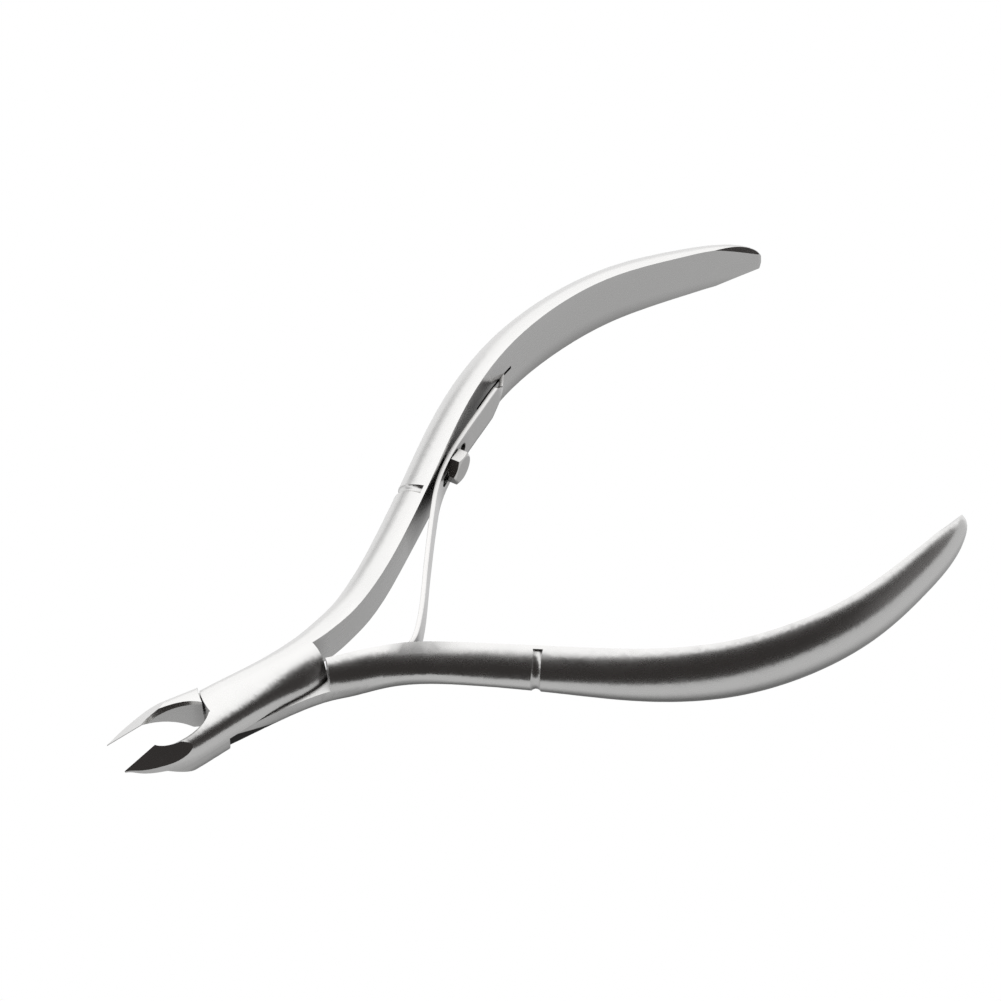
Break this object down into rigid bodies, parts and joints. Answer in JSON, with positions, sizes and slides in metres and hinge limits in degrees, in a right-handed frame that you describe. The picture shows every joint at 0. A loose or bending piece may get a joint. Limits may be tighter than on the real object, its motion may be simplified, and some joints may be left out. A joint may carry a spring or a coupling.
{
  "type": "cuticle nipper",
  "caption": "Steel cuticle nipper with a lap joint, curved handles and a slotted leaf spring that holds the jaws open.",
  "frame": {"origin": "on the joint pin's axis, in the plane of the joint's flat back", "axes": "+Z along the pin axis towards the front, +X from the joint to the handle ends midway between them, +Y towards the handle that carries the spring; the jaws point to -X"},
  "size_m": [0.1182, 0.0718, 0.0107],
  "materials": {
    "front_lever": "satin",
    "rear_lever": "satin",
    "joint_pin": "satin",
    "leaf_spring": "satin",
    "spring_screw": "polished",
    "spring_nut": "polished"
  },
  "bodies": {
    "front_body": {"front_lever": "front_lever", "joint_pin": "joint_pin", "spring_screw": "spring_screw", "spring_nut": "spring_nut"},
    "rear_body": {"rear_lever": "rear_lever"},
    "spring_body": {"leaf_spring": "leaf_spring"}
  },
  "joints": [
    {"name": "lever_pivot", "type": "hinge", "parent": "front_body", "child": "rear_body", "pos_m": [0, 0, 0], "axis": [0, 0, 1], "range_deg": [-3, 12.36]},
    {"name": "spring_flex", "type": "hinge", "parent": "front_body", "child": "spring_body", "pos_m": [0.04, 0.019, 0.00225], "axis": [0, 0, 1], "range_deg": [-14.9, 3.8], "deforming": ["leaf_spring"]}
  ],
  "couplings": [
    {"joint": "spring_flex", "follows": "lever_pivot", "ratio": -1.2}
  ]
}
